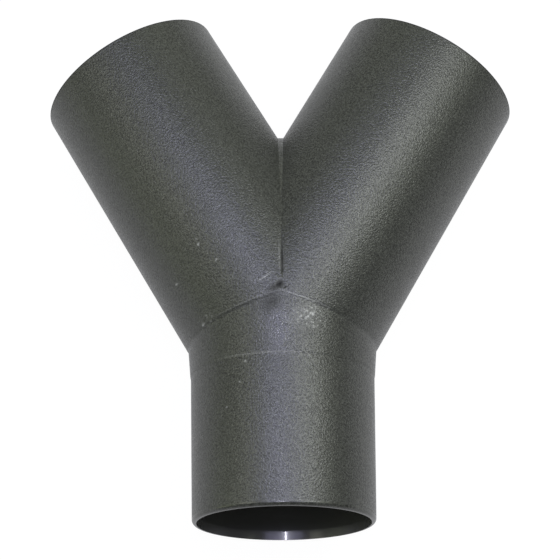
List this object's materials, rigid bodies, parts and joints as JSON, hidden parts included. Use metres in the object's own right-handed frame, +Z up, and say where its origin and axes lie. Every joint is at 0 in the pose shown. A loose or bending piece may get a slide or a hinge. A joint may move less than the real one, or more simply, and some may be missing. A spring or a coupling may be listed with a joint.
{
  "type": "vacuum hose y connector",
  "caption": "Moulded hose Y connector: a tapered spigot widens through a short neck and forks into straight round socket arms, joining vacuum or dust hoses.",
  "frame": {"origin": "on the surface that the fitting rests on, under the middle of its bounding box", "axes": "+Y from the spigot towards the arms, +X towards the right arm, +Z up, square to the plane of the tubes"},
  "size_m": [0.2718, 0.2961, 0.109],
  "materials": {
    "charcoal_plastic": "fine spark-eroded grain outside, smooth inside"
  },
  "bodies": {
    "root": {"y_connector": "charcoal_plastic"}
  },
  "joints": []
}
